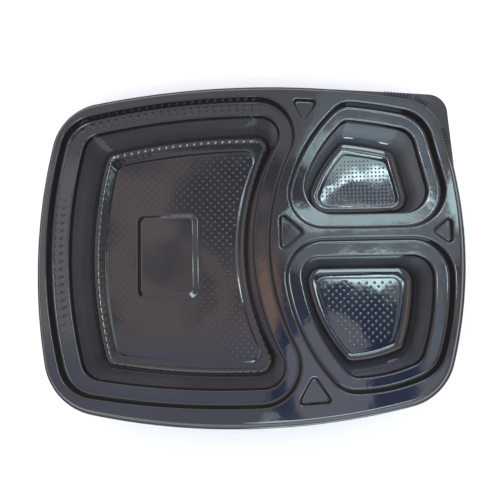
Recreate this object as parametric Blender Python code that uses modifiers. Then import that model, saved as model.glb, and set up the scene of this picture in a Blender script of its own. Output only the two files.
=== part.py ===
"""Three-compartment meal tray, formed from one thin plastic sheet.

Plan: X runs along the long side, Y across it, Z up. The origin is at the middle
of the tray's outer size, level with the undersides of the three floors.
A large compartment fills the left, with a waisted right wall. Two smaller ones
share the right. All three have a steep short wall, a ledge, a drafted deep wall,
a smooth ring round the floor and a floor panel raised a little above that ring.
Four shallow three-cornered pockets sit in the rim where compartments part.
"""

from math import atan2, cos, hypot, pi, sin, sqrt, tan

import bpy
from mathutils import Vector
from mathutils.geometry import tessellate_polygon

MM = 0.001

# Overall heights, in millimetres
RIM_HEIGHT = 38.6
SHEET = 0.55

# Outer edge: four bowed sides with rounded corners, starting at the corner
# behind on the right and going round by the left
OUTER = {
    "corners": [(106.3, 83.4), (-106.6, 85.5), (-110.7, -82.0), (104.6, -80.5)],
    "bows": [11.5, 11.3, 14.8, 14.4],
    "radii": [29.7, 30.8, 34.3, 32.4],
}

# Lip: the rim turns down at the fold and ends in a narrow flat flange
FOLD_IN = [3.4, 3.4, 4.4, 4.0]
LIP_DROP = 4.0
FLANGE_SHARE = 0.2
FOLD_EASE_SHARE = 0.8

# Lifting tab at one corner, in the plane of the flange
TAB_START = (50.0, 92.98)
TAB_CORNER = (113.6, 87.0)
TAB_END = (116.25, 44.5)
TAB_RADIUS = 11.0

# Heights of a compartment's section
WALL_TOP_EASE = 0.6
STEP_DEPTH = 5.8
LEDGE_DEPTH = 6.3
RING_TOP = SHEET
PANEL_RISE = 0.5

# Turn from the deep wall into the floor: what it turns through, and its steps
FOOT_TURN = pi / 2 - 0.12
FOOT_STEPS = 4

# Compartments: corners, bow of each side (outward positive), and for the rim,
# the ledge's inner edge, the wall's foot and the floor panel: inset of each
# side and radius of each corner. foot_radius rounds the wall into the floor.
MAIN = {
    "corners": [(-102.1, 78.0), (-102.0, -75.1), (46.2, -81.2), (45.1, 85.6)],
    "bows": [11.5, 5.8, -33.0, 6.4],
    "rim": ([0.0, 0.0, 0.0, 0.0], [20.7, 21.1, 22.5, 21.8]),
    "edge": ([10.6, 8.7, 9.5, 8.9], [11.2, 11.8, 12.0, 11.1]),
    "foot": ([14.2, 12.7, 15.4, 12.2], [8.5, 8.4, 9.0, 8.0]),
    "panel": ([22.3, 20.1, 21.7, 21.2], [6.0, 5.7, 5.8, 5.9]),
    "foot_radius": 4.0,
    "points": (9, 6),
}
UPPER = {
    "corners": [(55.1, 84.4), (20.8, 13.8), (114.6, 12.9), (100.8, 75.0)],
    "bows": [8.9, 1.1, 0.0, 1.0],
    "rim": ([0.0, 0.0, 0.0, 0.0], [12.6, 19.5, 20.8, 20.7]),
    "edge": ([7.9, 9.0, 7.9, 8.6], [6.9, 15.6, 12.5, 11.5]),
    "foot": ([11.2, 11.9, 10.8, 11.8], [7.0, 13.0, 10.5, 10.0]),
    "panel": ([19.0, 18.4, 17.4, 20.0], [3.5, 6.0, 4.5, 4.5]),
    "foot_radius": 5.8,
    "points": (5, 6),
}
LOWER = {
    "corners": [(20.7, 7.1), (50.1, -76.9), (101.8, -65.7), (110.5, 6.4)],
    "bows": [10.1, 3.9, 4.8, 0.1],
    "rim": ([0.0, 0.0, 0.0, 0.0], [21.7, 15.9, 20.6, 21.2]),
    "edge": ([9.3, 7.4, 8.6, 9.6], [10.7, 7.7, 9.8, 12.2]),
    "foot": ([12.5, 10.7, 11.9, 12.8], [10.0, 8.0, 9.5, 11.0]),
    "panel": ([20.5, 18.5, 20.0, 21.5], [4.5, 4.0, 4.5, 5.0]),
    "foot_radius": 6.5,
    "points": (6, 6),
}

# Raised pad in the middle of the large floor
PAD_CENTRE = (-52.5, 2.2)
PAD_HALF = (19.2, 26.6)
PAD_RADIUS = 5.0
PAD_SLOPE = 2.8
PAD_RISE = 1.5

# Three-cornered pockets in the rim
POCKETS = [
    [(26.4, 87.0), (32.9, 72.4), (41.8, 85.6)],
    [(18.0, 23.2), (18.0, -0.4), (32.0, 10.8)],
    [(112.6, 18.4), (101.0, 9.5), (112.3, 1.0)],
    [(34.2, -66.4), (24.6, -83.2), (44.8, -82.0)],
]
POCKET_RADIUS = 2.2
POCKET_DEPTH = 2.5
POCKET_DRAFT = 1.3


def edge_circle(a, b, bow):
    """Circle through a and b: centre, radius, and +1 when the side bows outward."""
    dx, dy = b[0] - a[0], b[1] - a[1]
    chord = hypot(dx, dy)
    rise = bow if abs(bow) > 0.05 else 0.05
    radius = (chord * chord / 4 + rise * rise) / (2 * abs(rise))
    side = 1 if rise > 0 else -1
    back = (radius - abs(rise)) * side
    return (a[0] + b[0]) / 2 - dy / chord * back, (a[1] + b[1]) / 2 + dx / chord * back, radius, side


def meeting(e, re, f, rf, near):
    """Point nearest `near` where circles of radius re round e and rf round f cross."""
    dx, dy = f[0] - e[0], f[1] - e[1]
    gap = hypot(dx, dy)
    along = (re * re - rf * rf + gap * gap) / (2 * gap)
    off = sqrt(max(re * re - along * along, 0.0))
    px, py = e[0] + dx * along / gap, e[1] + dy * along / gap
    p = (px - dy * off / gap, py + dx * off / gap)
    q = (px + dy * off / gap, py - dx * off / gap)
    return min(p, q, key=lambda c: hypot(c[0] - near[0], c[1] - near[1]))


def outline(corners, bows, insets, radii, per_side, per_corner):
    """Closed outline, counter-clockwise: bowed sides moved inward, corners rounded."""
    n = len(corners)
    sides = [edge_circle(corners[i], corners[(i + 1) % n], bows[i]) for i in range(n)]
    reach = [s[2] - s[3] * d for s, d in zip(sides, insets)]
    centres = []
    for i in range(n):
        e, f, r = sides[i - 1], sides[i], radii[i]
        centres.append(meeting(e, reach[i - 1] - e[3] * r, f, reach[i] - f[3] * r, corners[i]))

    def bearing(side, centre):
        return atan2(centre[1] - side[1], centre[0] - side[0])

    def on_side(i, angle):
        return sides[i][0] + reach[i] * cos(angle), sides[i][1] + reach[i] * sin(angle)

    points = []
    for i in range(n):
        c, r = centres[i], radii[i]
        first = on_side(i - 1, bearing(sides[i - 1], c))
        last_bearing = bearing(sides[i], c)
        last = on_side(i, last_bearing)
        t = atan2(first[1] - c[1], first[0] - c[0])
        turn = (atan2(last[1] - c[1], last[0] - c[0]) - t) % (2 * pi)
        for k in range(per_corner):
            a = t + turn * k / per_corner
            points.append((c[0] + r * cos(a), c[1] + r * sin(a)))
        sweep = bearing(sides[i], centres[(i + 1) % n]) - last_bearing
        sweep = (sweep + pi) % (2 * pi) - pi
        for k in range(per_side):
            points.append(on_side(i, last_bearing + sweep * k / per_side))
    return points


def level(shape, key, extra, z):
    """One loop of a compartment's wall, `extra` millimetres further in than `key`."""
    insets, radii = shape[key]
    flat = outline(
        shape["corners"],
        shape["bows"],
        [d + extra for d in insets],
        [max(r - extra, 1.5) for r in radii],
        *shape["points"],
    )
    return [(x, y, z) for x, y in flat]


def foot_turn(shape):
    """Loops of the round turn between the deep wall and the smooth floor ring."""
    radius = shape["foot_radius"]
    reach = radius * tan(FOOT_TURN / 2)
    loops = []
    for k in range(FOOT_STEPS + 1):
        a = FOOT_TURN * (1 - k / FOOT_STEPS)
        loops.append(level(shape, "foot", reach - radius * sin(a), RING_TOP + radius * (1 - cos(a))))
    return loops


def wall(shape):
    """Loops of one compartment from the rim to its raised floor panel."""
    top = RIM_HEIGHT
    return [
        level(shape, "rim", -WALL_TOP_EASE, top),
        level(shape, "rim", 0.0, top - WALL_TOP_EASE),
        level(shape, "rim", 0.9, top - STEP_DEPTH + 0.6),
        level(shape, "rim", 1.9, top - STEP_DEPTH),
        level(shape, "edge", -0.9, top - LEDGE_DEPTH),
        level(shape, "edge", 0.0, top - LEDGE_DEPTH - 0.9),
        *foot_turn(shape),
        level(shape, "panel", -0.8, RING_TOP),
        level(shape, "panel", 0.0, RING_TOP + PANEL_RISE),
    ]


def outer_loop(share, z):
    """Loop round the tray, a share of the way in from the outer edge to the fold."""
    insets = [share * d for d in FOLD_IN]
    radii = [r - share * 3.8 for r in OUTER["radii"]]
    flat = outline(OUTER["corners"], OUTER["bows"], insets, radii, 14, 9)
    return [(x, y, z) for x, y in flat]


def along(path, fraction):
    """Point at a fraction of the length of an open path."""
    steps = [hypot(b[0] - a[0], b[1] - a[1]) for a, b in zip(path, path[1:])]
    left = fraction * sum(steps)
    for a, b, step in zip(path, path[1:], steps):
        if left <= step:
            return a[0] + (b[0] - a[0]) * left / step, a[1] + (b[1] - a[1]) * left / step
        left -= step
    return path[-1]


def tab_path():
    """Free edge of the tab: two straight sides and a rounded corner."""
    ends = []
    for end in (TAB_START, TAB_END):
        dx, dy = end[0] - TAB_CORNER[0], end[1] - TAB_CORNER[1]
        length = hypot(dx, dy)
        ends.append((dx / length, dy / length))
    (ax, ay), (bx, by) = ends
    half = atan2(abs(ax * by - ay * bx), ax * bx + ay * by) / 2
    mx, my = ax + bx, ay + by
    mid = hypot(mx, my)
    away = TAB_RADIUS / sin(half)
    cx, cy = TAB_CORNER[0] + mx / mid * away, TAB_CORNER[1] + my / mid * away
    facing = atan2(-my, -mx)
    spread = pi / 2 - half
    arc = []
    for k in range(13):
        a = facing - spread + 2 * spread * k / 12
        arc.append((cx + TAB_RADIUS * cos(a), cy + TAB_RADIUS * sin(a)))
    return [TAB_END] + arc + [TAB_START]


def flange_edge(z):
    """Outer edge of the flange, carried out round the tab at its corner."""
    loop = outer_loop(0.0, z)
    taken = [i for i, p in enumerate(loop) if p[0] > TAB_START[0] and p[1] > TAB_END[1]]
    start = min(taken, key=lambda i: loop[i][1])
    order = [(start + k) % len(loop) for k in range(len(taken))]
    path = tab_path()
    for k, i in enumerate(order):
        x, y = along(path, (k + 0.5) / len(order))
        loop[i] = (x, y, z)
    return loop


def rounded_rectangle(cx, cy, hx, hy, r, z):
    points = []
    for k, (sx, sy) in enumerate([(1, 1), (-1, 1), (-1, -1), (1, -1)]):
        for j in range(5):
            a = (k + j / 4) * pi / 2
            points.append((cx + sx * (hx - r) + r * cos(a), cy + sy * (hy - r) + r * sin(a), z))
    return points


def pocket_loop(corners, inset, z):
    radius = max(POCKET_RADIUS - inset, 0.8)
    flat = outline(corners, [0.0] * 3, [inset] * 3, [radius] * 3, 1, 4)
    return [(x, y, z) for x, y in flat]


class Sheet:
    """Upper face of the sheet, gathered loop by loop."""

    def __init__(self):
        self.points = []
        self.faces = []

    def add(self, loop):
        first = len(self.points)
        self.points.extend(loop)
        return list(range(first, first + len(loop)))

    def strip(self, outer, inner):
        """Faces between two counter-clockwise loops, the second one inside."""
        n = len(outer)
        for k in range(n):
            j = (k + 1) % n
            self.faces.append((outer[k], outer[j], inner[j], inner[k]))

    def nest(self, loops):
        """Strips through loops given from the outside in; first and last loop."""
        rings = [self.add(loop) for loop in loops]
        for outer, inner in zip(rings, rings[1:]):
            self.strip(outer, inner)
        return rings[0], rings[-1]

    def fill(self, boundary, holes=()):
        """Flat faces inside a loop, leaving the holes open."""
        rings = [boundary, *holes]
        flat = [i for ring in rings for i in ring]
        polygons = [[Vector(self.points[i]) for i in ring] for ring in rings]
        for a, b, c in tessellate_polygon(polygons):
            p, q, r = (self.points[flat[i]] for i in (a, b, c))
            area = (q[0] - p[0]) * (r[1] - p[1]) - (q[1] - p[1]) * (r[0] - p[0])
            turned = (a, b, c) if area > 0 else (a, c, b)
            self.faces.append(tuple(flat[i] for i in turned))


def build_sheet():
    sheet = Sheet()
    top = RIM_HEIGHT
    lip = top - LIP_DROP
    _, land = sheet.nest(
        [
            flange_edge(lip),
            outer_loop(FLANGE_SHARE, lip),
            outer_loop(FOLD_EASE_SHARE, top - 0.4),
            outer_loop(1.0, top),
        ]
    )
    openings = []
    for shape in (MAIN, UPPER, LOWER):
        mouth, floor = sheet.nest(wall(shape))
        openings.append(mouth)
        if shape is MAIN:
            (cx, cy), (hx, hy) = PAD_CENTRE, PAD_HALF
            base = RING_TOP + PANEL_RISE
            crest = (hx - PAD_SLOPE, hy - PAD_SLOPE, PAD_RADIUS - 1.5, base + PAD_RISE)
            foot, crown = sheet.nest(
                [
                    rounded_rectangle(cx, cy, hx, hy, PAD_RADIUS, base),
                    rounded_rectangle(cx, cy, *crest),
                ]
            )
            sheet.fill(floor, [foot])
            sheet.fill(crown)
        else:
            sheet.fill(floor)
    for corners in POCKETS:
        mouth, floor = sheet.nest(
            [
                pocket_loop(corners, -0.4, top),
                pocket_loop(corners, 0.1, top - 0.5),
                pocket_loop(corners, POCKET_DRAFT, top - POCKET_DEPTH),
            ]
        )
        openings.append(mouth)
        sheet.fill(floor)
    sheet.fill(land, openings)
    return sheet


def black_plastic():
    material = bpy.data.materials.new("black_plastic")
    material.use_nodes = True
    shader = material.node_tree.nodes["Principled BSDF"]
    shader.inputs["Base Color"].default_value = (0.012, 0.012, 0.013, 1.0)
    shader.inputs["Roughness"].default_value = 0.12
    return material


def main():
    for old in list(bpy.data.objects):
        bpy.data.objects.remove(old, do_unlink=True)
    sheet = build_sheet()
    mesh = bpy.data.meshes.new("tray")
    scaled = [(x * MM, y * MM, z * MM) for x, y, z in sheet.points]
    mesh.from_pydata(scaled, [], sheet.faces)
    mesh.update()
    mesh.materials.append(black_plastic())
    mesh.shade_smooth()
    mesh.set_sharp_from_angle(angle=0.6)
    tray = bpy.data.objects.new("tray", mesh)
    group = bpy.data.collections.new("meal_tray")
    bpy.context.scene.collection.children.link(group)
    group.objects.link(tray)
    shell = tray.modifiers.new("sheet_thickness", "SOLIDIFY")
    shell.thickness = SHEET * MM
    shell.offset = -1.0
    shell.use_even_offset = True
    shell.use_rim = True


main()
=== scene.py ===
"""Looks of an empty black meal tray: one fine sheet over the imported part, gloss plastic, studio."""

from collections import namedtuple
from math import atan2, cos, hypot, pi, radians, sin, sqrt, tan

import bmesh
import bpy
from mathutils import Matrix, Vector
from mathutils.geometry import delaunay_2d_cdt, tessellate_polygon


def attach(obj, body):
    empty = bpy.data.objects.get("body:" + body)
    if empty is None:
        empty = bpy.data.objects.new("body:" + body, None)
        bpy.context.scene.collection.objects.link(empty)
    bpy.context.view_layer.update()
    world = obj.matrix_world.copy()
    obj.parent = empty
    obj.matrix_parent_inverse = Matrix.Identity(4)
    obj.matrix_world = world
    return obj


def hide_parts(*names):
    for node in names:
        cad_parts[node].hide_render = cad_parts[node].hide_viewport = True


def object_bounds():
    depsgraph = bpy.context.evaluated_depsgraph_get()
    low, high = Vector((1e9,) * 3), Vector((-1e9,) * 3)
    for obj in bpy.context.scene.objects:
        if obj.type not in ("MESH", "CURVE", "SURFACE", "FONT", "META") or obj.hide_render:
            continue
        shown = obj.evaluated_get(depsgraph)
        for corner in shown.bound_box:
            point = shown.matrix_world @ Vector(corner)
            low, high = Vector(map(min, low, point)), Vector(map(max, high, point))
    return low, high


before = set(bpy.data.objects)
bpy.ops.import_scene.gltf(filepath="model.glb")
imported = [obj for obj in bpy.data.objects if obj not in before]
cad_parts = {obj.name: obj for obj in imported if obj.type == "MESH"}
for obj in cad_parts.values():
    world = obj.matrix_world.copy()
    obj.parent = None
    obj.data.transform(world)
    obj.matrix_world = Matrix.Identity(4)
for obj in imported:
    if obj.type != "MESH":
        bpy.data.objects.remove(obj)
box_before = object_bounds()

MM = 0.001

# Heights, depths and roundings of the sheet, in millimetres as in the part
RIM = 38.6
SHEET = 0.55
LIP_DROP = 4.0
LEDGE_DEPTH = 5.95
RIM_ROUND = 0.75
STEP_FOOT = 0.8
STEP_ROUND = 1.1
EDGE_ROUND = 0.9
EDGE_TURN = 0.93 * pi / 2
EDGE_DROP = 0.8
WALL_LEAN = 1.45
FOOT_TURN = pi / 2 - 0.12
RING_TOP = SHEET
PANEL_RISE = 0.5
PANEL_TOP = RING_TOP + PANEL_RISE

# Outlines: corners counter-clockwise, with a bow for each side and a radius for each corner
LEAST_BOW = 0.05
LEAST_RADIUS = 1.5
OUTER = {
    "corners": [(106.3, 83.4), (-106.6, 85.5), (-110.7, -82.0), (104.6, -80.5)],
    "bows": [11.5, 11.3, 14.8, 14.4],
    "radii": [29.7, 30.8, 34.3, 32.4],
    "points": (54, 36),
}
FOLD_IN = [3.4, 3.4, 4.4, 4.0]
FOLD_TIGHTENS = 3.8
TAB_START = (50.0, 92.98)
TAB_CORNER = (113.6, 87.0)
TAB_END = (116.25, 44.5)
TAB_RADIUS = 11.0
TAB_STEPS = 24

# Compartments: each level from the rim to the floor panel has its sides' insets and its
# corners' radii; points are those of a side and of a corner
MAIN = {
    "corners": [(-102.1, 78.0), (-102.0, -75.1), (46.2, -81.2), (45.1, 85.6)],
    "bows": [11.5, 5.8, -33.0, 6.4],
    "rim": ([0.0, 0.0, 0.0, 0.0], [20.7, 21.1, 22.5, 21.8]),
    "edge": ([10.6, 8.7, 9.5, 8.9], [11.2, 11.8, 12.0, 11.1]),
    "foot": ([14.2, 12.7, 15.4, 12.2], [8.5, 8.4, 9.0, 8.0]),
    "panel": ([22.3, 20.1, 21.7, 21.2], [6.0, 5.7, 5.8, 5.9]),
    "foot_radius": 4.0,
    "ring_lift": 0.38,
    "ribbed": True,
    "close_dots": False,
    "bar_share": 0.9,
    "bars": [],
    "points": (60, 20),
}
UPPER = {
    "corners": [(55.1, 84.4), (20.8, 13.8), (114.6, 12.9), (100.8, 75.0)],
    "bows": [8.9, 1.1, 0.0, 1.0],
    "rim": ([0.0, 0.0, 0.0, 0.0], [12.6, 19.5, 20.8, 20.7]),
    "edge": ([7.9, 9.0, 7.9, 8.6], [6.9, 15.6, 12.5, 11.5]),
    "foot": ([11.2, 11.9, 10.8, 11.8], [7.0, 13.0, 10.5, 10.0]),
    "panel": ([19.0, 18.4, 17.4, 20.0], [3.5, 6.0, 4.5, 4.5]),
    "foot_radius": 5.8,
    "ring_lift": 0.44,
    "ribbed": False,
    "close_dots": True,
    "bar_share": 0.9,
    "bars": [(62.5, 72.0), (83.5, 68.0)],
    "points": (34, 18),
}
LOWER = {
    "corners": [(20.7, 7.1), (50.1, -76.9), (101.8, -65.7), (110.5, 6.4)],
    "bows": [10.1, 3.9, 4.8, 0.1],
    "rim": ([0.0, 0.0, 0.0, 0.0], [21.7, 15.9, 20.6, 21.2]),
    "edge": ([9.3, 7.4, 8.6, 9.6], [10.7, 7.7, 9.8, 12.2]),
    "foot": ([12.5, 10.7, 11.9, 12.8], [10.0, 8.0, 9.5, 11.0]),
    "panel": ([20.5, 18.5, 20.0, 21.5], [4.5, 4.0, 4.5, 5.0]),
    "foot_radius": 6.5,
    "ring_lift": 0.44,
    "ribbed": False,
    "close_dots": False,
    "bar_share": 0.8,
    "bars": [(82.8, -64.7)],
    "points": (36, 18),
}
COMPARTMENTS = (MAIN, UPPER, LOWER)

# Pad in the large floor and pockets in the land
PAD_CENTRE = (-52.5, 2.2)
PAD_HALF = (19.2, 26.6)
PAD_RADIUS = 5.0
PAD_SLOPE = 2.8
PAD_RISE = 1.5
PAD_CORNER_STEPS = 9
POCKETS = [
    [(26.4, 87.0), (32.9, 72.4), (41.8, 85.6)],
    [(18.0, 23.2), (18.0, -0.4), (32.0, 10.8)],
    [(112.6, 18.4), (101.0, 9.5), (112.3, 1.0)],
    [(34.2, -66.4), (24.6, -83.2), (44.8, -82.0)],
]
POCKET_RADIUS = 2.2
POCKET_DEPTH = 2.5
POCKET_DRAFT = 1.3
POCKET_POINTS = (4, 8)

# Low relief: floor dots, ribs round the large floor, lugs on its ledge, short bars on the
# walls of the small compartments, grip strokes at the tab
DOT_PITCH = 3.38
DOT_RISE = 0.12
DOT_RADIUS = 0.85
CLOSE_DOT = 0.72
# Rings of a dot: share of its radius, share of its rise, points
DOT_RINGS = [(0.5, 0.6, 6), (1.0, 0.0, 8), (1.2, 0.0, 8)]
DOT_CLEAR = DOT_RADIUS * 1.2 + 0.05
RIB_PITCH = 4.57
RIB_WIDTH = 1.7
RIB_RISE = 0.2
RIB_ROWS = 4
# Angles of the foot's turn over which a rib begins and ends
RIB_BEGINS = (0.1, 0.4)
RIB_ENDS = (0.85, 1.2)
LUG_PITCH = 4.4
LUG_WIDTH = 2.4
LUG_RISE = 0.16
LUG_ROWS = 3
# Rows over the ledge: share of its width, share of a lug's rise
LUG_PROFILE = [(0.08, 0.0), (0.2, 0.7), (0.32, 1.0), (0.44, 0.7), (0.56, 0.0)]
BAR_RISE = 0.7
BAR_HALF = 3.9
# Rows over a bar: share of the wall below its top, share of the bar's rise
BAR_PROFILE = [(-0.02, 0.0), (-0.005, 1.0), (0.03, 1.0), (0.05, 0.0)]
STROKE_LENGTH = 3.0
STROKE_WIDTH = 0.8
STROKE_RISE = 0.5
STROKE_SINK = 0.1
STROKE_PITCH = 1.75
STROKE_RUNS = [
    ((80.0, 89.3), (95.5, 87.1)),
    ((97.0, 86.4), (103.8, 81.4)),
    ((111.3, 67.4), (113.9, 58.7)),
]

# One loop of a compartment's wall. The key names its level, or the stretch between two of
# them; inset is in millimetres past the level, or a share of the stretch. Fine is the
# multiple of the level's points, lean how far the surface faces inward, from 0 for level to
# a right angle for upright, and relief how strongly the loop carries its ribs, lugs or bars.
Row = namedtuple("Row", "key inset z fine lean relief", defaults=(1, 0.0, 0.0))


def edge_circle(a, b, bow):
    """Circle through a and b: centre, radius, and +1 when the side bows outward."""
    dx, dy = b[0] - a[0], b[1] - a[1]
    chord = hypot(dx, dy)
    rise = bow if abs(bow) > LEAST_BOW else LEAST_BOW
    radius = (chord * chord / 4 + rise * rise) / (2 * abs(rise))
    side = 1 if rise > 0 else -1
    back = (radius - abs(rise)) * side
    return (a[0] + b[0]) / 2 - dy / chord * back, (a[1] + b[1]) / 2 + dx / chord * back, radius, side


def meeting(e, re, f, rf, near):
    """Point nearest `near` where circles of radius re round e and rf round f cross."""
    dx, dy = f[0] - e[0], f[1] - e[1]
    gap = hypot(dx, dy)
    along_gap = (re * re - rf * rf + gap * gap) / (2 * gap)
    off = sqrt(max(re * re - along_gap * along_gap, 0.0))
    px, py = e[0] + dx * along_gap / gap, e[1] + dy * along_gap / gap
    p = (px - dy * off / gap, py + dx * off / gap)
    q = (px + dy * off / gap, py - dx * off / gap)
    return min(p, q, key=lambda c: hypot(c[0] - near[0], c[1] - near[1]))


def outline(corners, bows, insets, radii, per_side, per_corner):
    """Closed outline, counter-clockwise: bowed sides moved inward, corners rounded."""
    n = len(corners)
    sides = [edge_circle(corners[i], corners[(i + 1) % n], bows[i]) for i in range(n)]
    reach = [s[2] - s[3] * d for s, d in zip(sides, insets)]
    centres = []
    for i in range(n):
        e, f, r = sides[i - 1], sides[i], radii[i]
        centres.append(meeting(e, reach[i - 1] - e[3] * r, f, reach[i] - f[3] * r, corners[i]))

    def bearing(side, centre):
        return atan2(centre[1] - side[1], centre[0] - side[0])

    def on_side(i, angle):
        return sides[i][0] + reach[i] * cos(angle), sides[i][1] + reach[i] * sin(angle)

    points = []
    for i in range(n):
        c, r = centres[i], radii[i]
        first = on_side(i - 1, bearing(sides[i - 1], c))
        last_bearing = bearing(sides[i], c)
        last = on_side(i, last_bearing)
        t = atan2(first[1] - c[1], first[0] - c[0])
        turn = (atan2(last[1] - c[1], last[0] - c[0]) - t) % (2 * pi)
        for k in range(per_corner):
            a = t + turn * k / per_corner
            points.append((c[0] + r * cos(a), c[1] + r * sin(a)))
        sweep = bearing(sides[i], centres[(i + 1) % n]) - last_bearing
        sweep = (sweep + pi) % (2 * pi) - pi
        for k in range(per_side):
            points.append(on_side(i, last_bearing + sweep * k / per_side))
    return points


def level(shape, key, extra, fine=1):
    """One loop of a compartment, `extra` millimetres further in than `key`."""
    insets, radii = shape[key]
    side, corner = shape["points"]
    return outline(
        shape["corners"],
        shape["bows"],
        [d + extra for d in insets],
        [max(r - extra, LEAST_RADIUS) for r in radii],
        side * fine,
        corner * fine,
    )


def toward(a, b, t):
    """Loop a share t of the way from loop a to loop b."""
    return [(p[0] + (q[0] - p[0]) * t, p[1] + (q[1] - p[1]) * t) for p, q in zip(a, b)]


def arc_angles(steps, turn=pi / 2):
    """Evenly spaced angles from 0 to `turn`."""
    return [turn * k / steps for k in range(steps + 1)]


def arc_lengths(points):
    """Length along a closed outline up to each of its points, and in all."""
    total, out = 0.0, []
    for p, q in zip(points, points[1:] + points[:1]):
        out.append(total)
        total += hypot(q[0] - p[0], q[1] - p[1])
    return out, total


def bump(offset, width):
    """Smooth bump: 1 at its middle, 0 from half its width outward."""
    x = abs(offset) / (width / 2)
    return (1 - x * x) ** 2 if x < 1 else 0.0


def smooth(x, low, high):
    """Smooth step from 0 at low to 1 at high."""
    t = min(max((x - low) / (high - low), 0.0), 1.0)
    return t * t * (3 - 2 * t)


def twice_area(a, b, c):
    """Twice the area of a flat triangle, above 0 when it runs counter-clockwise."""
    return (b[0] - a[0]) * (c[1] - a[1]) - (b[1] - a[1]) * (c[0] - a[0])


def inside(ring, x, y):
    """True for a point inside a closed outline."""
    hit, j = False, len(ring) - 1
    for i in range(len(ring)):
        (xi, yi), (xj, yj) = ring[i], ring[j]
        if (yi > y) != (yj > y) and x < (xj - xi) * (y - yi) / (yj - yi) + xi:
            hit = not hit
        j = i
    return hit


def on_panel(border, x, y):
    """True inside the first outline and outside the others."""
    return inside(border[0], x, y) and not any(inside(hole, x, y) for hole in border[1:])


def gap_to(ring, x, y):
    """Distance from a point to the nearest stretch of a closed outline."""
    best = 1e9
    for (ax, ay), (bx, by) in zip(ring, ring[1:] + ring[:1]):
        dx, dy = bx - ax, by - ay
        t = min(max(((x - ax) * dx + (y - ay) * dy) / (dx * dx + dy * dy), 0.0), 1.0)
        best = min(best, hypot(x - ax - t * dx, y - ay - t * dy))
    return best


def dot_centres(border, close):
    """Spots on a panel and clear of its outlines: a square lattice turned by 45 degrees,
    or with a further spot in each of its squares when close."""
    xs = [p[0] for p in border[0]]
    ys = [p[1] for p in border[0]]
    cx, cy = (min(xs) + max(xs)) / 2, (min(ys) + max(ys)) / 2
    step = DOT_PITCH * cos(pi / 4)
    across, back = int((cx - min(xs)) / step), int((cy - min(ys)) / step)
    out = []
    for i in range(-across, across + 1):
        for j in range(-back, back + 1):
            if (i + j) % 2 and not close:
                continue
            x, y = cx + i * step, cy + j * step
            if on_panel(border, x, y) and all(gap_to(ring, x, y) > DOT_CLEAR for ring in border):
                out.append((x, y))
    return out


def dot_points(x, y, size):
    """Crest and rings of one dot, on the floor panel."""
    points = [(x, y, PANEL_TOP + DOT_RISE * size)]
    for radius, rise, count in DOT_RINGS:
        reach = DOT_RADIUS * radius * size
        for k in range(count):
            a = 2 * pi * (k + radius) / count
            points.append((x + reach * cos(a), y + reach * sin(a), PANEL_TOP + DOT_RISE * rise * size))
    return points


class Skin:
    """Vertices and faces of one face of the sheet."""

    def __init__(self):
        self.points = []
        self.faces = []

    def add(self, flat, z):
        """Indices of new vertices, at one height or at one height each."""
        first = len(self.points)
        heights = z if isinstance(z, list) else [z] * len(flat)
        self.points.extend((p[0], p[1], h) for p, h in zip(flat, heights))
        return list(range(first, first + len(flat)))

    def strip(self, outer, inner):
        """Faces between two loops; one may have a whole multiple of the other's points."""
        n, m = len(outer), len(inner)
        if n <= m:
            step = m // n
            for k in range(n):
                fan = [inner[(step * k + i) % m] for i in range(step + 1)]
                for i in range(step - 1):
                    self.faces.append((outer[k], fan[i + 1], fan[i]))
                self.faces.append((outer[k], outer[(k + 1) % n], fan[step], fan[step - 1]))
        else:
            step = n // m
            for k in range(m):
                fan = [outer[(step * k + i) % n] for i in range(step + 1)]
                for i in range(step - 1):
                    self.faces.append((inner[k], fan[i], fan[i + 1]))
                self.faces.append((inner[k], fan[step - 1], fan[step], inner[(k + 1) % m]))

    def nest(self, rows):
        """Strips through (loop, height) rows given from the outside in."""
        rings = [self.add(flat, z) for flat, z in rows]
        for a, b in zip(rings, rings[1:]):
            self.strip(a, b)
        return rings[0], rings[-1]

    def fill(self, boundary, holes=()):
        """Flat faces inside a loop, leaving the holes open."""
        rings = [boundary, *holes]
        flat = [i for ring in rings for i in ring]
        polygons = [[Vector(self.points[i]) for i in ring] for ring in rings]
        for triangle in tessellate_polygon(polygons):
            ids = [flat[i] for i in triangle]
            upward = twice_area(*(self.points[i] for i in ids)) > 0
            self.faces.append(tuple(ids if upward else reversed(ids)))

    def dotted(self, boundary, holes, close):
        """Floor panel with a lattice of small raised dots."""
        rings = [boundary, *holes]
        flat = [i for ring in rings for i in ring]
        border = [[self.points[i][:2] for i in ring] for ring in rings]
        edges = []
        for ring in border:
            first, n = len(edges), len(ring)
            edges += [(first + k, first + (k + 1) % n) for k in range(n)]
        size = CLOSE_DOT if close else 1.0
        dots = [p for spot in dot_centres(border, close) for p in dot_points(*spot, size)]
        coords = [Vector(p) for ring in border for p in ring] + [Vector(p[:2]) for p in dots]
        verts, _, faces, origin, _, _ = delaunay_2d_cdt(coords, edges, [], 0, 1e-6)
        index = []
        for (x, y), source in zip(verts, origin):
            first = min(source)
            if first < len(flat):
                index.append(flat[first])
            else:
                index.append(len(self.points))
                self.points.append((x, y, dots[first - len(flat)][2]))
        for face in faces:
            corners = [verts[i] for i in face]
            x = sum(c[0] for c in corners) / len(corners)
            y = sum(c[1] for c in corners) / len(corners)
            if on_panel(border, x, y):
                ids = [index[i] for i in face]
                upward = twice_area(*corners[:3]) > 0
                self.faces.append(tuple(ids if upward else reversed(ids)))


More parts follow.
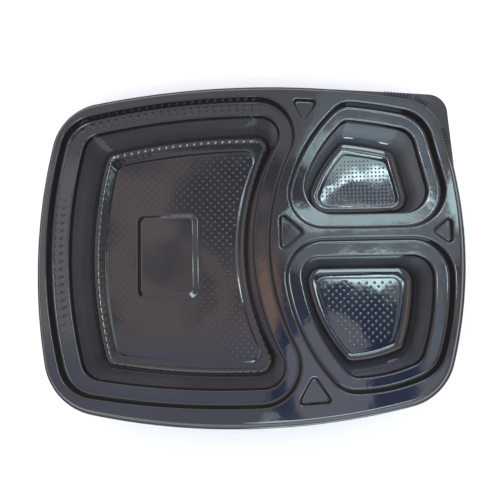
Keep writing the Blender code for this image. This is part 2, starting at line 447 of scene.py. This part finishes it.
def step_rows(ledge):
    """The land turned down into a compartment and the short step to the ledge."""
    rows = [Row("rim", -1.1, RIM)]
    for a in arc_angles(4):
        rows.append(Row("rim", -RIM_ROUND * (1 - sin(a)), RIM - RIM_ROUND * (1 - cos(a))))
    rows.append(Row("rim", 0.45, RIM - 2.8))
    rows.append(Row("rim", 0.75, ledge + 1.2))
    for a in arc_angles(4)[1:]:
        rows.append(Row("rim", STEP_FOOT + STEP_ROUND * (1 - cos(a)), ledge + STEP_ROUND * (1 - sin(a))))
    return rows


def ledge_rows(ledge, ribbed):
    """The ledge, with lugs when ribbed, and its turned-down edge."""
    rows = []
    for share, relief in LUG_PROFILE:
        if ribbed:
            rows.append(Row("ledge", share, ledge, LUG_ROWS, 0.0, relief))
        else:
            rows.append(Row("ledge", share, ledge))
    rows.append(Row("edge", -1.3, ledge))
    for a in arc_angles(5, EDGE_TURN):
        rows.append(Row("edge", -EDGE_ROUND * (1 - sin(a)), ledge - EDGE_ROUND * (1 - cos(a))))
    return rows


def wall_rows(ledge, turn_top, bar_share):
    """The deep wall, down to where its foot begins to turn."""
    top = ledge - EDGE_DROP
    shares = [(0.2, 0.0), (0.45, 0.0), (0.7, 0.0)]
    shares += [(bar_share + below, relief) for below, relief in BAR_PROFILE]
    return [Row("wall", s, top + (turn_top - top) * s, 1, WALL_LEAN, relief) for s, relief in shares]


def foot_rows(shape, ring):
    """The round foot of the wall, with ribs when ribbed."""
    radius = shape["foot_radius"]
    reach = radius * tan(FOOT_TURN / 2)
    rows = []
    for a in reversed(arc_angles(8, FOOT_TURN)):
        inset, z = reach - radius * sin(a), ring + radius * (1 - cos(a))
        if shape["ribbed"]:
            relief = smooth(a, *RIB_BEGINS) * (1 - smooth(a, *RIB_ENDS))
            rows.append(Row("foot", inset, z, RIB_ROWS, a, relief))
        else:
            rows.append(Row("foot", inset, z))
    return rows


def panel_rows(ring):
    """The smooth ring round the floor and its rise to the panel."""
    rows = []
    for k in range(7):
        rise = (PANEL_TOP - ring) * (1 - cos(pi * k / 6)) / 2
        rows.append(Row("panel", -1.15 + 1.8 * k / 6, ring + rise))
    rows.append(Row("panel", 0.85, PANEL_TOP))
    return rows


def section(shape):
    """Rows of one compartment from the rim to the floor panel."""
    ledge = RIM - LEDGE_DEPTH
    ring = RING_TOP + shape["ring_lift"]
    turn_top = ring + shape["foot_radius"] * (1 - cos(FOOT_TURN))
    rows = step_rows(ledge) + ledge_rows(ledge, shape["ribbed"])
    rows += wall_rows(ledge, turn_top, shape["bar_share"])
    return rows + foot_rows(shape, ring) + panel_rows(ring)


def teeth(guide, pitch, width, rise):
    """Push of each point of a loop for evenly spaced ribs along it."""
    lengths, total = arc_lengths(guide)
    step = total / round(total / pitch)
    return [rise * bump((s + step / 2) % step - step / 2, width) for s in lengths]


def lugged(x, y):
    """Share of the ledge lugs: full along the left and back sides, none elsewhere."""
    left = smooth(-x, 98.0, 103.0)
    back = smooth(y, 66.0, 74.0) * smooth(-x, -16.0, -4.0)
    return max(left, back)


def lug_pushes(shape, row):
    guide = level(shape, "edge", 0.0, row.fine)
    pushes = teeth(guide, LUG_PITCH, LUG_WIDTH, LUG_RISE * row.relief)
    return [push * lugged(*spot) for push, spot in zip(pushes, guide)]


def rib_pushes(shape, row):
    return teeth(level(shape, "foot", 1.0, row.fine), RIB_PITCH, RIB_WIDTH, RIB_RISE * row.relief)


def bar_pushes(shape, flat):
    """Full within a bar's half length of its middle, falling off over the last millimetre."""
    pushes = [0.0] * len(flat)
    for bx, by in shape["bars"]:
        for k, (x, y) in enumerate(flat):
            share = min(1.0, max(0.0, BAR_HALF - hypot(x - bx, y - by)))
            pushes[k] = max(pushes[k], BAR_RISE * share)
    return pushes


def push_out(flat, heights, lean, pushes):
    """Moves a loop's points along the surface's facing by the given distances."""
    n = len(flat)
    moved, lifted = [], []
    for k, (x, y) in enumerate(flat):
        (ax, ay), (bx, by) = flat[k - 1], flat[(k + 1) % n]
        long = hypot(bx - ax, by - ay)
        inward = pushes[k] * sin(lean)
        moved.append((x - (by - ay) / long * inward, y + (bx - ax) / long * inward))
        lifted.append(heights[k] + pushes[k] * cos(lean))
    return moved, lifted


def row_points(shape, row):
    """Loop and heights of one row, with its ribs, lugs or bars."""
    if row.key == "ledge":
        start = level(shape, "rim", STEP_FOOT + STEP_ROUND, row.fine)
        flat = toward(start, level(shape, "edge", -EDGE_ROUND, row.fine), row.inset)
    elif row.key == "wall":
        past_foot = shape["foot_radius"] * (tan(FOOT_TURN / 2) - sin(FOOT_TURN))
        flat = toward(level(shape, "edge", 0.0), level(shape, "foot", past_foot), row.inset)
    else:
        flat = level(shape, row.key, row.inset, row.fine)
    heights = [row.z] * len(flat)
    if not row.relief:
        return flat, heights
    if row.key == "ledge":
        pushes = lug_pushes(shape, row)
    elif row.key == "foot":
        pushes = rib_pushes(shape, row)
    else:
        pushes = bar_pushes(shape, flat)
    return push_out(flat, heights, row.lean, pushes)


def outer_loop(share):
    """Loop of the outer fold: 0 at its root, 1 at the rim."""
    insets = [share * d for d in FOLD_IN]
    radii = [r - share * FOLD_TIGHTENS for r in OUTER["radii"]]
    return outline(OUTER["corners"], OUTER["bows"], insets, radii, *OUTER["points"])


def along(path, fraction):
    """Point at a fraction of the length of an open path."""
    steps = [hypot(b[0] - a[0], b[1] - a[1]) for a, b in zip(path, path[1:])]
    left = fraction * sum(steps)
    for a, b, step in zip(path, path[1:], steps):
        if left <= step:
            return a[0] + (b[0] - a[0]) * left / step, a[1] + (b[1] - a[1]) * left / step
        left -= step
    return path[-1]


def tab_path():
    """Free edge of the tab: two straight sides and a rounded corner."""
    ends = []
    for end in (TAB_START, TAB_END):
        dx, dy = end[0] - TAB_CORNER[0], end[1] - TAB_CORNER[1]
        length = hypot(dx, dy)
        ends.append((dx / length, dy / length))
    (ax, ay), (bx, by) = ends
    half = atan2(abs(ax * by - ay * bx), ax * bx + ay * by) / 2
    mx, my = ax + bx, ay + by
    mid = hypot(mx, my)
    away = TAB_RADIUS / sin(half)
    cx, cy = TAB_CORNER[0] + mx / mid * away, TAB_CORNER[1] + my / mid * away
    facing = atan2(-my, -mx)
    spread = pi / 2 - half
    arc = []
    for turned in arc_angles(TAB_STEPS, 2 * spread):
        a = facing - spread + turned
        arc.append((cx + TAB_RADIUS * cos(a), cy + TAB_RADIUS * sin(a)))
    return [TAB_END] + arc + [TAB_START]


def flange_edge():
    """Outer edge of the flange, carried out round the tab at its corner."""
    loop = outer_loop(0.0)
    taken = [i for i, p in enumerate(loop) if p[0] > TAB_START[0] and p[1] > TAB_END[1]]
    start = min(taken, key=lambda i: loop[i][1])
    path = tab_path()
    for k in range(len(taken)):
        loop[(start + k) % len(loop)] = along(path, (k + 0.5) / len(taken))
    return loop


def pad_loop(grow, r):
    """Rounded rectangle of the pad, `grow` millimetres out from its foot."""
    cx, cy = PAD_CENTRE
    hx, hy = PAD_HALF[0] + grow, PAD_HALF[1] + grow
    points = []
    for k, (sx, sy) in enumerate([(1, 1), (-1, 1), (-1, -1), (1, -1)]):
        for a in arc_angles(PAD_CORNER_STEPS):
            a += k * pi / 2
            points.append((cx + sx * (hx - r) + r * cos(a), cy + sy * (hy - r) + r * sin(a)))
    return points


def pad_rows(drop):
    """Rows of the pad from its foot to its crown, `drop` below the upper face."""
    base = PANEL_TOP - drop
    s = PAD_SLOPE
    return [
        (pad_loop(0.8, PAD_RADIUS + 0.8), base),
        (pad_loop(0.4, PAD_RADIUS + 0.4), base),
        (pad_loop(0.0, PAD_RADIUS), base + 0.04),
        (pad_loop(-0.5, PAD_RADIUS - 0.3), base + 0.2),
        (pad_loop(0.5 - s, PAD_RADIUS - 1.2), base + PAD_RISE - 0.2),
        (pad_loop(-s, PAD_RADIUS - 1.5), base + PAD_RISE - 0.04),
        (pad_loop(-s - 0.4, PAD_RADIUS - 1.9), base + PAD_RISE),
        (pad_loop(-s - 0.8, PAD_RADIUS - 2.3), base + PAD_RISE),
    ]


def pocket_rows(corners, drop):
    """Rows of a pocket from the land to its floor, `drop` below the upper face."""

    def loop(inset):
        radius = max(POCKET_RADIUS - inset, 0.8)
        return outline(corners, [0.0] * 3, [inset] * 3, [radius] * 3, *POCKET_POINTS)

    z = RIM - drop
    return [
        (loop(-1.0), z),
        (loop(-0.5), z),
        (loop(-0.2), z - 0.12),
        (loop(0.05), z - 0.45),
        (loop(POCKET_DRAFT - 0.45), z - POCKET_DEPTH + 0.35),
        (loop(POCKET_DRAFT - 0.1), z - POCKET_DEPTH + 0.06),
        (loop(POCKET_DRAFT + 0.3), z - POCKET_DEPTH),
        (loop(POCKET_DRAFT + 0.5), z - POCKET_DEPTH),
    ]


def top_skin():
    """Upper face of the sheet, and the loop along its edge."""
    skin = Skin()
    lip = RIM - LIP_DROP
    edge, root, crest = flange_edge(), outer_loop(0.2), outer_loop(0.8)
    rows = [
        (edge, lip),
        (toward(edge, root, 0.35), lip),
        (toward(edge, root, 0.8), lip),
        (root, lip + 0.1),
        (toward(root, crest, 0.2), lip + 0.65),
        (toward(root, crest, 0.85), RIM - 0.7),
        (toward(root, crest, 0.97), RIM - 0.35),
        (outer_loop(0.86), RIM - 0.12),
        (outer_loop(0.94), RIM - 0.02),
        (outer_loop(1.02), RIM),
        (outer_loop(1.1), RIM),
    ]
    rim_edge, land = skin.nest(rows)
    openings = []
    for shape in COMPARTMENTS:
        mouth, floor = skin.nest([row_points(shape, row) for row in section(shape)])
        openings.append(mouth)
        if shape is MAIN:
            pad_foot, crown = skin.nest(pad_rows(0.0))
            skin.dotted(floor, [pad_foot], shape["close_dots"])
            skin.fill(crown)
        else:
            skin.dotted(floor, [], shape["close_dots"])
    for corners in POCKETS:
        mouth, floor = skin.nest(pocket_rows(corners, 0.0))
        openings.append(mouth)
        skin.fill(floor)
    skin.fill(land, openings)
    return skin, rim_edge


def under_section(shape):
    """Rows of the lower face of one compartment, one sheet thickness outside."""
    t = SHEET
    radius = shape["foot_radius"]
    reach = radius * tan(FOOT_TURN / 2)
    rows = [
        ("rim", -1.3 - t * 0.5, RIM - t),
        ("rim", -0.5 - t, RIM - t - 0.5),
        ("rim", 0.2 - t, RIM - 2.8),
        ("rim", 0.8 - t, RIM - LEDGE_DEPTH + 0.7),
        ("rim", 1.6 - t, RIM - LEDGE_DEPTH - 0.4),
        ("rim", 2.6 - t, RIM - LEDGE_DEPTH - t - 0.05),
        ("edge", -1.3 - t * 0.5, RIM - LEDGE_DEPTH - t),
        ("edge", -0.2 - t, RIM - LEDGE_DEPTH - 0.9),
        ("edge", 0.02 - t, RIM - LEDGE_DEPTH - 2.4),
    ]
    for a in reversed(arc_angles(6, FOOT_TURN)):
        rows.append(("foot", reach - (radius + t) * sin(a), RING_TOP + radius - (radius + t) * cos(a)))
    rows.append(("panel", -1.15, 0.0))
    rows.append(("panel", -0.2, PANEL_RISE))
    rows.append(("panel", 0.4, PANEL_RISE))
    return rows


def under_skin(top):
    """Adds the lower face, coarser and one sheet thickness below; returns its edge loop."""
    skin = Skin()
    lip = RIM - LIP_DROP - SHEET
    edge, root, crest = flange_edge(), outer_loop(0.3), outer_loop(0.95)
    rows = [
        (edge, lip),
        (toward(edge, root, 0.8), lip),
        (root, lip + 0.1),
        (toward(root, crest, 0.9), RIM - SHEET - 0.6),
        (crest, RIM - SHEET - 0.1),
        (outer_loop(1.1), RIM - SHEET),
    ]
    rim_edge, land = skin.nest(rows)
    openings = []
    for shape in COMPARTMENTS:
        mouth, floor = skin.nest([(level(shape, k, e), z) for k, e, z in under_section(shape)])
        openings.append(mouth)
        if shape is MAIN:
            pad_foot, crown = skin.nest(pad_rows(SHEET))
            skin.fill(floor, [pad_foot])
            skin.fill(crown)
        else:
            skin.fill(floor)
    for corners in POCKETS:
        mouth, floor = skin.nest(pocket_rows(corners, SHEET))
        openings.append(mouth)
        skin.fill(floor)
    skin.fill(land, openings)
    base = len(top.points)
    top.points.extend(skin.points)
    top.faces.extend(tuple(base + i for i in reversed(f)) for f in skin.faces)
    return [base + i for i in rim_edge]


def add_strokes(skin):
    """Short grip strokes side by side along the root of the tab, each a small hipped roof."""
    half_wide, half_long = STROKE_WIDTH / 2, STROKE_LENGTH / 2
    base = RIM - LIP_DROP - STROKE_SINK
    for (ax, ay), (bx, by) in STROKE_RUNS:
        run = hypot(bx - ax, by - ay)
        ux, uy = (bx - ax) / run, (by - ay) / run
        for k in range(int(run / STROKE_PITCH) + 1):
            x, y = ax + ux * STROKE_PITCH * k, ay + uy * STROKE_PITCH * k
            corners = []
            for side, end in ((1, 1), (-1, 1), (-1, -1), (1, -1)):
                u, v = side * half_wide, end * half_long
                corners.append((x + ux * u - uy * v, y + uy * u + ux * v))
            ridge = half_long - half_wide
            crest = [(x - uy * v, y + ux * v) for v in (ridge, -ridge)]
            a, b, c, d = skin.add(corners, base)
            e, f = skin.add(crest, base + STROKE_SINK + STROKE_RISE)
            skin.faces += [(a, b, e), (b, c, f, e), (c, d, f), (d, a, e, f), (d, c, b, a)]


def drop_loose(mesh):
    """Deletes the vertices that no face uses."""
    bm = bmesh.new()
    bm.from_mesh(mesh)
    loose = [v for v in bm.verts if not v.link_faces]
    bmesh.ops.delete(bm, geom=loose, context="VERTS")
    bm.to_mesh(mesh)
    bm.free()


def make_tray(inner, outer):
    """One closed sheet; its lower face carries the plainer outer material."""
    skin, upper_edge = top_skin()
    top_count = len(skin.faces)
    lower_edge = under_skin(skin)
    under_count = len(skin.faces)
    n = len(upper_edge)
    for k in range(n):
        j = (k + 1) % n
        skin.faces.append((lower_edge[k], lower_edge[j], upper_edge[j], upper_edge[k]))
    add_strokes(skin)
    low, high = box_before
    held = [[min(max(c * MM, a), b) for c, a, b in zip(p, low, high)] for p in skin.points]
    mesh = bpy.data.meshes.new("tray_sheet")
    mesh.from_pydata(held, [], skin.faces)
    for face in mesh.polygons[top_count:under_count]:
        face.material_index = 1
    mesh.validate()
    drop_loose(mesh)
    mesh.shade_smooth()
    mesh.set_sharp_from_angle(angle=radians(50))
    mesh.materials.append(inner)
    mesh.materials.append(outer)
    tray = bpy.data.objects.new("tray_sheet", mesh)
    bpy.context.scene.collection.objects.link(tray)
    return tray


class Nodes:
    """Short calls for building a node tree."""

    def __init__(self, tree):
        self.tree = tree

    def new(self, kind, **settings):
        node = self.tree.nodes.new(kind)
        for key, value in settings.items():
            setattr(node, key, value)
        return node

    def put(self, value, socket):
        if isinstance(value, bpy.types.NodeSocket):
            self.tree.links.new(value, socket)
        else:
            socket.default_value = value

    def axes(self, vector):
        node = self.new("ShaderNodeSeparateXYZ")
        self.put(vector, node.inputs[0])
        return node.outputs

    def math(self, operation, a, b=0.0):
        node = self.new("ShaderNodeMath", operation=operation)
        self.put(a, node.inputs[0])
        self.put(b, node.inputs[1])
        return node.outputs[0]

    def ramp(self, value, low, high, out_low=0.0, out_high=1.0):
        """Smooth step from out_low at low to out_high at high."""
        node = self.new("ShaderNodeMapRange", interpolation_type="SMOOTHSTEP")
        for name, item in (("Value", value), ("From Min", low), ("From Max", high)):
            self.put(item, node.inputs[name])
        self.put(out_low, node.inputs["To Min"])
        self.put(out_high, node.inputs["To Max"])
        return node.outputs["Result"]

    def mix(self, factor, a, b, blend="MIX"):
        """Mix of two colours, each a socket or three numbers."""
        node = self.new("ShaderNodeMix", data_type="RGBA", blend_type=blend)
        self.put(factor, node.inputs["Factor"])
        for colour, socket in ((a, node.inputs[6]), (b, node.inputs[7])):
            self.put((*colour, 1.0) if isinstance(colour, tuple) else colour, socket)
        return node.outputs[2]

    def noise(self, vector, scale, detail, roughness=0.5):
        node = self.new("ShaderNodeTexNoise")
        self.put(vector, node.inputs["Vector"])
        node.inputs["Scale"].default_value = scale
        node.inputs["Detail"].default_value = detail
        node.inputs["Roughness"].default_value = roughness
        return node.outputs["Fac"]

    def bump(self, height, strength, distance):
        node = self.new("ShaderNodeBump")
        node.inputs["Strength"].default_value = strength
        node.inputs["Distance"].default_value = distance
        self.put(height, node.inputs["Height"])
        return node


# Colour of the sheet by height in millimetres: black, with the deep walls painted paler and smoky, a
# painted sheen standing in for the light they reflect and let through
SHEET_AND_PAINTED_WALL_TONES = [
    (0.0, (0.009, 0.0080, 0.0083)),
    (2.6, (0.011, 0.0098, 0.0102)),
    (7.0, (0.040, 0.0360, 0.0380)),
    (20.0, (0.051, 0.0470, 0.0500)),
    (28.0, (0.043, 0.0400, 0.0425)),
    (29.5, (0.007, 0.0070, 0.0078)),
    (38.6, (0.007, 0.0070, 0.0078)),
]
# How many times paler the small compartments' walls are painted, a painted glow standing in for the
# window light on them, in the front one and the back one
PAINTED_GLOW_FRONT = (1.2, 1.45, 1.6)
PAINTED_GLOW_BACK = (2.8, 3.35, 3.45)
# Where that begins: shares of the height at the foot and the top, metres along X and Y
GLOW_FOOT = (0.03, 0.12)
GLOW_TOP = (0.77, 0.72)
GLOW_RIGHT = (0.012, 0.022)
GLOW_NORTH = (-0.02, 0.035)
PLASTIC_IOR = 1.49
GLOSS = (0.03, 0.075)


def plastic(name, glow_share):
    """Gloss black; the second argument is how far the small compartments' walls are painted paler and
    bluish-green, a painted glow.
    """
    material = bpy.data.materials.new(name)
    material.use_nodes = True
    tree = material.node_tree
    shader = tree.nodes["Principled BSDF"]
    make = Nodes(tree)
    place = make.new("ShaderNodeTexCoord").outputs["Object"]
    east, north, up = make.axes(place)
    height = make.math("DIVIDE", up, RIM * MM)
    # Base colour by height: the deep walls are painted paler, a painted sheen
    tones = make.new("ShaderNodeValToRGB")
    stops = tones.color_ramp.elements
    while len(stops) < len(SHEET_AND_PAINTED_WALL_TONES):
        stops.new(1.0)
    for stop, (z, colour) in zip(stops, SHEET_AND_PAINTED_WALL_TONES):
        stop.position = z / RIM
        stop.color = (*colour, 1.0)
    make.put(height, tones.inputs[0])
    shade = make.ramp(make.noise(place, 22, 4, 0.6), 0.3, 0.7, 0.85, 1.2)
    cloud = make.new("ShaderNodeCombineColor")
    for channel in range(3):
        make.put(shade, cloud.inputs[channel])
    base = make.mix(1.0, tones.outputs[0], cloud.outputs[0], "MULTIPLY")
    # Painted glow: the small compartments' walls painted paler and bluish-green, standing in for window
    # light falling on them and reflected in them
    glow_mask = make.math("MULTIPLY", make.ramp(height, *GLOW_FOOT), make.ramp(height, *GLOW_TOP))
    glow_mask = make.math("MULTIPLY", glow_mask, make.ramp(east, *GLOW_RIGHT, 0.0, glow_share))
    glow_tint = make.mix(make.ramp(north, *GLOW_NORTH), PAINTED_GLOW_FRONT, PAINTED_GLOW_BACK)
    base = make.mix(glow_mask, base, make.mix(1.0, base, glow_tint, "MULTIPLY"))
    make.put(base, shader.inputs["Base Color"])
    shader.inputs["IOR"].default_value = PLASTIC_IOR
    make.put(make.ramp(make.noise(place, 60, 3), 0.3, 0.7, *GLOSS), shader.inputs["Roughness"])
    wide = make.bump(make.noise(place, 18, 1.5), 0.3, 0.001)
    close = make.bump(make.noise(place, 120, 2), 0.2, 0.0002)
    make.put(wide.outputs["Normal"], close.inputs["Normal"])
    make.put(close.outputs["Normal"], shader.inputs["Normal"])
    return material


# Soft studio panels by direction in degrees from straight up: middle along X and Y,
# half width along X and Y, squareness (2 is an oval), softness, radiance. A later one
# covers an earlier one.
PANELS = [
    # Side panel, two back panels and two front panels
    ((-30, 0), (9.5, 30), 6, 0.10, (2.3, 2.2, 2.3)),
    ((-4, 25), (34, 9), 6, 0.15, (1.5, 1.5, 1.7)),
    ((0, 62), (60, 17), 4, 0.20, (2.6, 2.6, 2.9)),
    ((-8, -25), (34, 19), 6, 0.15, (1.3, 1.4, 1.8)),
    ((8.5, -31), (10.5, 15.5), 6, 0.20, (9.0, 11.5, 12.5)),
    # Panel over the right half
    ((12.2, 4), (6.8, 19), 6, 0.10, (2.0, 2.3, 2.8)),
    # Faint oval lamp
    ((10.6, 15.6), (5.0, 2.4), 2, 0.50, (6.0, 8.0, 8.4)),
    # Curved lamp: a bright oval, a dim one that covers its middle and a panel over its foot
    ((12.0, 8.7), (6.7, 5.1), 2, 0.03, (24.0, 31.0, 33.0)),
    ((11.2, 8.4), (5.6, 4.4), 2, 0.03, (1.5, 1.6, 2.2)),
    ((11.8, 5.9), (9.0, 3.8), 8, 0.12, (2.2, 2.4, 2.9)),
    # Strip, bright oval lamp and narrow lamp at the right
    ((9.5, 8.2), (6.0, 0.9), 4, 0.40, (7.0, 9.5, 10.0)),
    ((11.0, 2.0), (5.0, 1.9), 2, 0.25, (15.0, 20.0, 21.0)),
    ((20.8, 10.3), (1.0, 3.4), 3, 0.30, (10.0, 13.5, 14.5)),
    # Dark card with an opening
    ((7.3, -8.8), (8.8, 9.9), 2, 0.04, (0.25, 0.4, 0.95)),
    ((6.4, -9.3), (4.8, 6.9), 2, 0.04, (2.1, 2.2, 2.8)),
    # Warm lamp near the middle
    ((-0.5, -1.5), (1.2, 5.0), 2, 0.50, (3.2, 2.0, 1.6)),
]
# Radiance of the uneven ceiling, from and to, and of the far walls to the left and right
CEILING_LOW = (0.5, 0.55, 0.7)
CEILING_HIGH = (1.75, 1.45, 1.4)
LEFT_SIDE = (1.5, 1.25, 1.2)
RIGHT_SIDE = (1.5, 1.5, 1.6)
# How far the panels' edges waver
WAVER = radians(0.35)


def room_light():
    world = bpy.data.worlds.new("soft_room")
    world.use_nodes = True
    make = Nodes(world.node_tree)
    ray = make.new("ShaderNodeTexCoord").outputs["Generated"]
    east, north, up = make.axes(ray)
    waver = make.ramp(make.noise(ray, 13, 2), 0.3, 0.7, -WAVER, WAVER)
    ripple = make.ramp(make.noise(ray, 19, 2), 0.3, 0.7, -WAVER, WAVER)
    across = make.math("ADD", make.math("ARCTAN2", east, up), waver)
    back = make.math("ADD", make.math("ARCTAN2", north, up), ripple)
    sides = make.mix(make.ramp(east, -0.6, 0.6), LEFT_SIDE, RIGHT_SIDE)
    cloud = make.ramp(make.noise(ray, 6.5, 2.5), 0.38, 0.6)
    ceiling = make.mix(cloud, CEILING_LOW, CEILING_HIGH)
    light = make.mix(make.ramp(up, 0.88, 0.6), ceiling, sides)
    for middle, half, square, soft, colour in PANELS:
        reach = 0.0
        for angle, centre, width in zip((across, back), middle, half):
            off = make.math("SUBTRACT", angle, radians(centre))
            share = make.math("DIVIDE", make.math("ABSOLUTE", off), radians(width))
            reach = make.math("ADD", make.math("POWER", share, square), reach)
        mask = make.ramp(reach, (1 + soft) ** square, (1 - soft) ** square)
        light = make.mix(mask, light, colour)
    make.put(light, world.node_tree.nodes["Background"].inputs["Color"])
    bpy.context.scene.world = world


PAPER = (0.6, 0.58, 0.56)


def studio():
    """Plain pale floor under soft light."""
    bpy.ops.mesh.primitive_plane_add(size=6.0, location=(0, 0, 0))
    floor = bpy.context.object
    floor.name = "floor"
    paper = bpy.data.materials.new("pale_floor")
    paper.use_nodes = True
    shader = paper.node_tree.nodes["Principled BSDF"]
    shader.inputs["Base Color"].default_value = (*PAPER, 1)
    shader.inputs["Roughness"].default_value = 0.9
    floor.data.materials.append(paper)
    room_light()
    bpy.context.scene.view_settings.view_transform = "Standard"


# The photograph's view: nearly overhead, in metres and degrees
CAMERA_PLACE = (0.0120, -0.0215, 0.3138)
CAMERA_TURN = (4.74, 2.35, -1.28)
LENS = 36.0
SENSOR = 36.0


def camera():
    data = bpy.data.cameras.new("view")
    data.sensor_width = SENSOR
    data.lens = LENS
    data.clip_start = 0.01
    eye = bpy.data.objects.new("view", data)
    eye.location = CAMERA_PLACE
    eye.rotation_euler = [radians(turn) for turn in CAMERA_TURN]
    bpy.context.scene.collection.objects.link(eye)
    bpy.context.scene.camera = eye


# The inner face carries the painted glow on the small compartments' walls, the outer face none
tray = make_tray(plastic("gloss_black_inside", 1.0), plastic("gloss_black_outside", 0.0))
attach(tray, "root")
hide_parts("tray")
studio()
camera()
